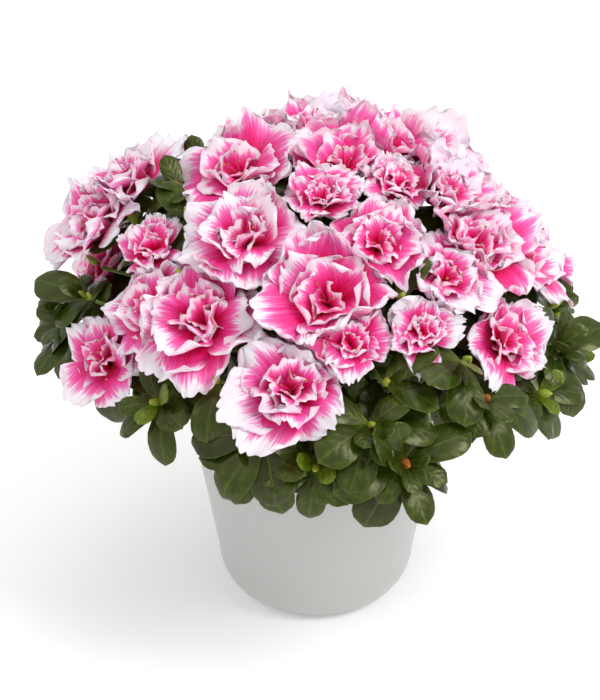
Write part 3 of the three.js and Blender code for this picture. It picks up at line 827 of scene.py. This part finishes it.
# Bud scales on the shoots' tips: papery, yellow-green on some buds and rusty orange on others.
BUD_GREEN = plain_material("bud_scale_green", "#9caa3a", 0.45, 2, 0.3)
BUD_RUST = plain_material("bud_scale_rust", "#b0622a", 0.5, 2, 0.3)
# Stamens: smooth rose threads, each with a small ochre pollen sac.
FILAMENT = plain_material("stamen_thread", "#e0417f", 0.4, 1, 0.05)
ANTHER = plain_material("pollen_sac", "#a8743f", 0.7, 0.5, 0.1)


# ---- pot and soil
def arc(middle_radius, middle_height, wide, high, steps):
    """A quarter of an ellipse from straight down to straight out, as profile points."""
    angle = np.linspace(0, math.pi / 2, steps)
    return list(zip(middle_radius + wide * np.sin(angle), middle_height - high * np.cos(angle)))


def pot_radius(height):
    """The outer radius of the pot's tapered side at a height."""
    return POT.base + (POT.rim - POT.base) * height / POT.height


corner = pot_radius(POT.corner_high) - POT.corner_wide
half_wall = POT.wall / 2
lip = np.radians(np.linspace(0, 180, 10))
wall_heights = np.linspace(POT.corner_high, POT.height - half_wall, 14)[1:-1]
pot_profile = (
    [(0, 0), (corner * 0.5, 0)]
    + arc(corner, POT.corner_high, POT.corner_wide, POT.corner_high, 16)
    + [(pot_radius(z), z) for z in wall_heights]
    + [(POT.rim - half_wall + half_wall * math.cos(turn),
        POT.height - half_wall + half_wall * math.sin(turn)) for turn in lip]
    + [(pot_radius(z) - POT.wall, z) for z in wall_heights[::-1]]
    + arc(corner, POT.corner_high, POT.corner_wide - POT.wall, POT.corner_high - POT.wall, 12)[::-1]
    + [(corner * 0.5, POT.wall), (0, POT.wall)]
)
points, faces = lathed(pot_profile, 144)
pot = add_piece("glazed_pot", points, faces, [GLAZE])
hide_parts("pot")

inset = POT.wall + SOIL.gap
edge = pot_radius(SOIL.top) - inset
soil_profile = (
    [(0, POT.wall + CLEAR)]
    + arc(corner, POT.corner_high + CLEAR, POT.corner_wide - inset, POT.corner_high - POT.wall, 8)
    + [(edge, SOIL.top - SOIL.sink - 1.5)]
    + [(edge * share, SOIL.top - SOIL.sink * share**6) for share in np.linspace(0.985, 0.03, 34)]
    + [(0, SOIL.top)]
)


def crumbs(wall):
    """Lumps of peat on the soil's top: two sizes of ripple, none down its side."""
    on_top = np.clip((wall[..., 2] - (SOIL.top - SOIL.sink - 0.5)) / 0.5, 0, 1)
    wall[..., 2] += on_top * (0.9 * ripple(wall, 9, 3) + 0.7 * ripple(wall, 3.5, 4) - 0.6)
    return wall


points, faces = lathed(soil_profile, 120, crumbs)
soil = add_piece("peat_surface", points, faces, [SOIL_SKIN])
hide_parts("potting_soil")


# ---- trunk and boughs
def furrowed(paths, radii, guides, sides, depth, seed):
    """Tubes whose radius follows the bark: furrows that run along the limb and wander, and
    small swellings. radius (1 + depth (ripple of the limb's surface, stretched lengthwise))."""
    plain = tubes(paths, radii, guides, sides)
    stretched = plain.wall * np.array([1, 1, 0.35])
    relief = depth * (0.6 * ripple(stretched, 3.2, seed) + 0.5 * ripple(plain.wall, 9, seed + 1))
    return tubes(paths, radii[..., None] * (1 + relief), guides, sides)


share = np.linspace(0, 1, TRUNK_POINTS)
flare = (TRUNK.foot - TRUNK.radius) * np.clip(1 - 3 * share, 0, 1) ** 2
trunk_radii = TRUNK.radius + (TRUNK.top_radius - TRUNK.radius) * share + flare
trunk = furrowed(trunk_line[None], trunk_radii[None], np.array([[1.0, 0, 0]]), 40, 0.09, 11)
bough_share = np.linspace(0, 1, 40)
bough_paths = np.stack([bezier(*bough_curve(spray), bough_share) for spray in sprays])
bough_radii = BOUGH.radius + (BOUGH.tip_radius - BOUGH.radius) * bough_share
bough_radii = np.tile(bough_radii, (len(sprays), 1))
boughs = furrowed(bough_paths, bough_radii, np.tile(SIDE_GUIDE, (len(sprays), 1)), 18, 0.1, 17)
points, faces = joined([(trunk.points, trunk.faces), (boughs.points, boughs.faces)])
limbs = add_piece("bark_limbs", points, faces, [BARK])
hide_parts("trunk", *[f"bough_{spray.name}" for spray in sprays])

# ---- the crown's four parts
CROWN_PARTS = {
    "top": ("top", "upper_1"),
    "upper_right": ("upper_2", "upper_3"),
    "upper_left": ("upper_4", "upper_5"),
    "lower": ("lower_1", "lower_2", "lower_3", "lower_4", "lower_5", "lower_6"),
}


def of_part(things, part):
    """Those of the things that are in one part of the crown."""
    return [thing for thing in things if thing.spray.name in CROWN_PARTS[part]]


def dress(piece, part):
    """The piece stands for the foliage of one part of the crown, whose imported foliage is hidden.
    The piece itself is not used.
    """
    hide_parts(*[f"foliage_{name}" for name in CROWN_PARTS[part]])


# ---- twigs
def add_twigs(part):
    """Stems and twigs: brown at their foot, green over the last stretch."""
    chosen = of_part(twigs, part)
    along = np.linspace(0, 1, 9)
    paths = np.stack([bezier(*twig.curve, along) for twig in chosen])
    radii = np.stack([twig.radius + (twig.tip - twig.radius) * along for twig in chosen])
    knots = 1 + 0.08 * np.sin(along * 40)
    made = tubes(paths, radii * knots, np.stack([twig.guide for twig in chosen]), 7)
    green = [levels >= 4 for levels in made.levels]
    piece = add_piece(f"twigs_{part}", made.points, made.faces, [BROWN_TWIG, GREEN_TWIG], green)
    dress(piece, part)


# ---- leaves
LEAF_GRID = grid_of([0, 0.12, 0.28, 0.45, 0.6, 0.74, 0.85, 0.93, 0.98, 1], 5)
WIDEST, LEAF_THICKNESS = 0.62, 0.45


def arrays(things, names):
    """For each name, an array of the values that the things have under it."""
    return [np.array([getattr(thing, name) for thing in things]) for name in names.split()]


def add_leaves(part):
    """Leaves: obovate blades. Half width = half (0.07 + 0.93 sin(pi/2 s/widest)^1.15) up to the
    widest place, and then half the root of 1 - ((s - widest) / 0.385)^2.5. The end is rounded by
    a fall of 0.035 length t^2 s^8, with a small point of 0.006 length in its middle. Each half
    arches from the sunk midrib, and the whole leaf curls by curl (0.35 s + 0.65 s^2)."""
    chosen = of_part(leaves, part)
    s, t = LEAF_GRID.s, LEAF_GRID.t
    roots, along, back, length, half, curl = arrays(chosen, "root along back length half curl")
    fold, wave, twist = (value[:, None, None] for value in arrays(chosen, "fold wave twist"))
    swell = 0.07 + 0.93 * np.sin(math.pi / 2 * np.minimum(s / WIDEST, 1)) ** 1.15
    shape = np.where(s < WIDEST, swell, np.sqrt(1 - (np.maximum(s - WIDEST, 0) / 0.385) ** 2.5))
    half_widths = half[:, None] * shape
    fall = (0.035 * length)[:, None, None] * (t**2)[None, None] * (s**8)[None, :, None]
    point = np.exp(-((t / 0.3) ** 2)) * (s**16)[None, :, None]
    fall = fall - (0.006 * length)[:, None, None] * point
    reach = np.abs(t)[None, None] * half_widths[..., None]
    lift = reach * (0.75 * fold + 0.32) - reach * np.abs(t) * (fold * 0.6 + 0.42)
    lift = lift + twist * t * half_widths[..., None] * s[:, None]
    lift = lift + 0.07 * half_widths[..., None] * t**2 * np.sin(9 * s[:, None] + wave)
    angles = curl[:, None] * (0.35 * s + 0.65 * s**2)
    top, above = blades(LEAF_GRID, roots, along, back, length, angles, half_widths, fall, lift)
    piece = sheet_piece(f"leaves_{part}", [(LEAF_GRID, chosen, top, above)], LEAF, LEAF_THICKNESS)
    dress(piece, part)


# ---- flowers
# Whorls of a double flower, from the outside in: how many petals, their length and half width
# as shares of the flower's radius, their angle from the flower's axis at foot and margin, how
# far they ruffle, and in how many waves.
PETAL_WHORLS = [
    (5, 1.2, 0.55, 46, 99, 0.09, 1.2),
    (4, 0.9, 0.47, 35, 75, 0.095, 1.4),
    (4, 0.68, 0.42, 22, 60, 0.08, 1.3),
    (3, 0.5, 0.36, 9, 43, 0.075, 1.2),
]
BROAD_GRID = grid_of([0, 0.16, 0.36, 0.55, 0.71, 0.83, 0.91, 0.96, 1], 49)
MIDDLE_GRID = grid_of([0, 0.18, 0.4, 0.6, 0.77, 0.88, 0.95, 1], 33)
FINE_GRID = grid_of([0, 0.22, 0.48, 0.7, 0.86, 0.94, 1], 25)
PETAL_THICKNESS = 0.35


def petal_list():
    """Every petal of every flower, with its seeded differences from its neighbours."""
    petals = []
    for flower in flowers:
        fine = flower.fine
        sway = turned(flower.side, flower.facing, 2 * math.pi * fine())
        flower.axis = axis = unit(flower.facing + sway * 0.2 * fine())
        openness = 0.88 + 0.2 * fine()
        richness, fullness, lopsided = fine(), 0.55 + 0.75 * fine(), 0.1 * fine()
        start_turn = 2 * math.pi * fine()
        guide = across_of(flower.side, axis)
        for whorl, (count, length, half, foot, margin, ruffle, waves) in enumerate(PETAL_WHORLS):
            count = round(count * fullness) if whorl else count
            for petal in range(count):
                place = petal + 0.5 * whorl + fine.spread(0.3)
                angle = start_turn + 2 * math.pi * place / count
                rich = 0.55 * richness + 0.4 * fine() + 0.12 * whorl
                uneven = 0.88 + 0.2 * fine() + lopsided * math.cos(angle)
                petals.append(SimpleNamespace(
                    flower=flower, spray=flower.spray, whorl=whorl, axis=axis,
                    out=turned(guide, axis, angle), base=flower.place - axis + axis * 0.6 * whorl,
                    row=min(2, int(3 * rich)), length=flower.bloom * length * uneven,
                    half=flower.bloom * half * (0.84 + 0.3 * fine()), foot=math.radians(foot),
                    margin=math.radians(margin * openness + fine.spread(22)),
                    ruffle=ruffle * flower.bloom * (0.7 + 0.6 * fine()),
                    waves=waves * (0.7 + 0.6 * fine()),
                    phase=2 * math.pi * fine(), small_phase=2 * math.pi * fine(),
                    cup=fine.spread(0.3), twist=fine.spread(0.3), column=int(fine() * TILES)))
    return petals


def press(points, petals):
    """Flowers press on each other. The wall between two of them waves by 3.5 mm in space. What
    would cross it is pushed back to it, and the larger flower's petals rise over the smaller's:
    point + over (0.8 way + rise axis), where over is how far the point would cross, and the
    rise is 0.4 over a smaller flower and -0.1 under a larger one."""
    for flower in {id(petal.flower): petal.flower for petal in petals}.values():
        mine = np.array([petal.flower is flower for petal in petals])
        own = points[mine]
        for way, point, larger in flower_walls(flower, flowers):
            swing = 2.4 * np.sin(own @ [0.17, 0.13, 0.2]) + 1.1 * np.sin(own @ [-0.4, 0.45, 0.35])
            depth = 0.8 - (own - point) @ way + np.where(way[0] > 0, swing, -swing)
            over = np.maximum(depth, 0)[..., None]
            own = own + over * (way * 0.8 + flower.axis * (0.4 if larger else -0.1))
        points[mine] = own
    return points


def petal_batch(petals, grid):
    """Petals: fans on a bent middle line. Angle from the axis = foot + (margin - foot) s^1.1.
    Half width = half (0.12 + 0.88 sin(pi/2 (s/0.8)^0.9)) up to s = 0.8, and from there half the
    root of 1 - 0.55 ((s - 0.8) / 0.2)^2. A fall of 0.62 half |t|^2.4 s^2 rounds the margin.
    The petal ruffles by s^2 sin(pi waves t) and folds by s^5 sin(9 t). Its rim is crinkled by
    s^8 sin(frill), where frill turns pi (3 + (columns - 1) / 12) t, so that a coarser grid has
    fewer crinkles. Phases and slow sines in t make all of these uneven."""
    s, t = grid.s, grid.t
    base, axis, out, length, half = arrays(petals, "base axis out length half")
    foot, margin = (value[:, None] for value in arrays(petals, "foot margin"))
    ruffle, waves, phase, small, cup, twist = (
        value[:, None, None]
        for value in arrays(petals, "ruffle waves phase small_phase cup twist"))
    angles = foot + (margin - foot) * s**1.1
    swell = 0.12 + 0.88 * np.sin(math.pi / 2 * np.minimum(s / 0.8, 1) ** 0.9)
    half_widths = half[:, None] * swell * np.sqrt(1 - 0.55 * (np.maximum(s - 0.8, 0) / 0.2) ** 2)
    turn = math.pi * waves * t + phase
    fold = 9 * t + small + 1.6 * np.sin(2.6 * t + phase)
    frill = math.pi * (3 + (len(t) - 1) / 12) * t + phase + 1.2 * np.sin(3.3 * t + small)
    deep, near, rim = ((s**power)[None, :, None] for power in (2, 5, 8))
    lift = ruffle * deep * (np.sin(turn) + 0.3 * np.sin(1.9 * turn + small))
    lift = lift + 0.05 * half[:, None, None] * near * np.sin(fold) + 0.8 * rim * np.sin(frill)
    lift = lift + cup * half_widths[..., None] * t**2 * s[:, None]
    lift = lift + twist * half_widths[..., None] * t * s[:, None]
    fall = half[:, None, None] * 0.62 * np.abs(t) ** 2.4 * (s**2)[None, :, None]
    fall = fall + length[:, None, None] * 0.03 * near * np.sin(1.5 * turn + small)
    fall = fall + rim * (0.8 * np.cos(fold) + (0.8 + 0.5 * np.sin(2.2 * turn)) * np.cos(frill))
    top, above = blades(grid, base, axis, out, length, angles, half_widths, fall, lift)
    return grid, petals, press(top, petals), above


def add_petals(part):
    """The petals of a part: broad ones on the finest grid, those of the middle on coarser ones."""
    chosen = of_part(all_petals, part)
    batches = [
        petal_batch([petal for petal in chosen if petal.whorl in whorls], grid)
        for grid, whorls in ((BROAD_GRID, (0,)), (MIDDLE_GRID, (1,)), (FINE_GRID, (2, 3)))]
    dress(sheet_piece(f"petals_{part}", batches, PETAL, PETAL_THICKNESS), part)


def add_stamens(part):
    """Stamens: a few threads from the throat of the open flowers, curved in, each with a sac."""
    paths, guides = [], []
    for flower in of_part(flowers, part):
        fine = flower.fine
        for thread in range(4 if flower.bloom > 25 else 0):
            out = turned(flower.side, flower.facing, 2 * math.pi * (thread + fine()) / 4)
            reach = flower.bloom * (0.42 + 0.25 * fine())
            lean = 0.2 + 0.3 * fine()
            end = flower.place + (flower.axis * math.cos(lean) + out * math.sin(lean)) * reach
            paths.append(bezier(flower.place, flower.place + flower.axis * reach * 0.6, end,
                                [0, 0.3, 0.6, 0.85, 0.94, 0.95, 0.975, 1]))
            guides.append(flower.side)
    radii = np.tile([0.5, 0.42, 0.36, 0.32, 0.3, 0.65, 0.75, 0.35], (len(paths), 1))
    made = tubes(np.stack(paths), radii, np.stack(guides), 5)
    sac = [levels >= 4 for levels in made.levels]
    piece = add_piece(f"stamens_{part}", made.points, made.faces, [FILAMENT, ANTHER], sac)
    dress(piece, part)


def add_buds(part):
    """Buds: pointed ovals in the middle of the leafy whorls. Their radius is 0.24 size
    (0.07 + 0.93 sin(pi s^0.8)^0.8), pinched four times round into scales that wind upwards."""
    along = np.linspace(0, 1, 9)
    chosen = of_part(buds, part)
    paths = np.stack([bud.place + bud.way * (along * bud.size)[:, None] for bud in chosen])
    width = 0.07 + 0.93 * np.sin(math.pi * np.clip(along, 0, 0.985) ** 0.8) ** 0.8
    angle = np.linspace(0, 2 * math.pi, 8, endpoint=False)
    scale = 1 + 0.12 * np.cos(4 * angle[None] + 5 * along[:, None])
    radii = np.stack([width[:, None] * scale * bud.size * 0.24 for bud in chosen])
    made = tubes(paths, radii, np.stack([bud.guide for bud in chosen]), 8)
    rusty = [np.array([bud.rusty for bud in chosen])[owners] for owners in made.owners]
    piece = add_piece(f"buds_{part}", made.points, made.faces, [BUD_GREEN, BUD_RUST], rusty)
    dress(piece, part)


all_petals = petal_list()
for part in CROWN_PARTS:
    add_twigs(part)
    add_leaves(part)
    add_petals(part)
    add_stamens(part)
    add_buds(part)


# ---- floor, lights and camera
def add_floor():
    """A flat pale studio floor under the pot."""
    material, node = new_material("studio_floor")
    finished(material, node, {
        "Base Color": linear("#ffffff"), "Roughness": 1.0, "Specular IOR Level": 0.0,
        "Emission Color": linear("#ffffff"), "Emission Strength": 0.15})
    mesh = bpy.data.meshes.new("studio_floor")
    edge, low = 8, -0.0005  # metres: it reaches past every view, and lies just under the pot
    corners = [(-edge, -edge, low), (edge, -edge, low), (edge, edge, low), (-edge, edge, low)]
    mesh.from_pydata(corners, [], [(0, 1, 2, 3)])
    mesh.materials.append(material)
    floor = shown("studio_floor", mesh)


def stand(name, data, aim, azimuth, elevation, distance):
    """Stands a light or a camera at a distance in metres from a point, at two angles from it, and
    turns it to look at that point."""
    away = direction(90 - elevation, azimuth)
    thing = shown(name, data)
    thing.location = np.array(aim) * MM + away * distance
    thing.rotation_mode = "QUATERNION"
    thing.rotation_quaternion = (-Vector(away)).to_track_quat("-Z", "Y")
    return thing


def add_light(name, azimuth, elevation, distance, size, power):
    """A square soft light that looks at the crown."""
    light = bpy.data.lights.new(name, "AREA")
    light.size, light.energy = size, power
    stand(name, light, (0, 0, 160), azimuth, elevation, distance)


def add_camera(elevation, distance, aim, lens):
    """The camera stands in front of the plant, above it, and looks at a point near its middle."""
    data = bpy.data.cameras.new("camera")
    data.lens = lens
    data.clip_start, data.clip_end = 0.01, 50
    bpy.context.scene.camera = stand("camera", data, aim, 0, elevation, distance)


add_floor()
add_light("key", azimuth=52, elevation=46, distance=1.6, size=0.6, power=12)
add_light("fill", azimuth=-60, elevation=50, distance=1.8, size=1.6, power=3.8)
add_light("back", azimuth=170, elevation=60, distance=1.8, size=1.2, power=5)
world = bpy.data.worlds.new("studio")
world.use_nodes = True
background = world.node_tree.nodes["Background"]
background.inputs["Color"].default_value = linear("#ffffff")
background.inputs["Strength"].default_value = 0.78
bpy.context.scene.world = world
bpy.context.scene.view_settings.view_transform = "Standard"
add_camera(elevation=30, distance=1.3, aim=(-10, 0, 162), lens=112)
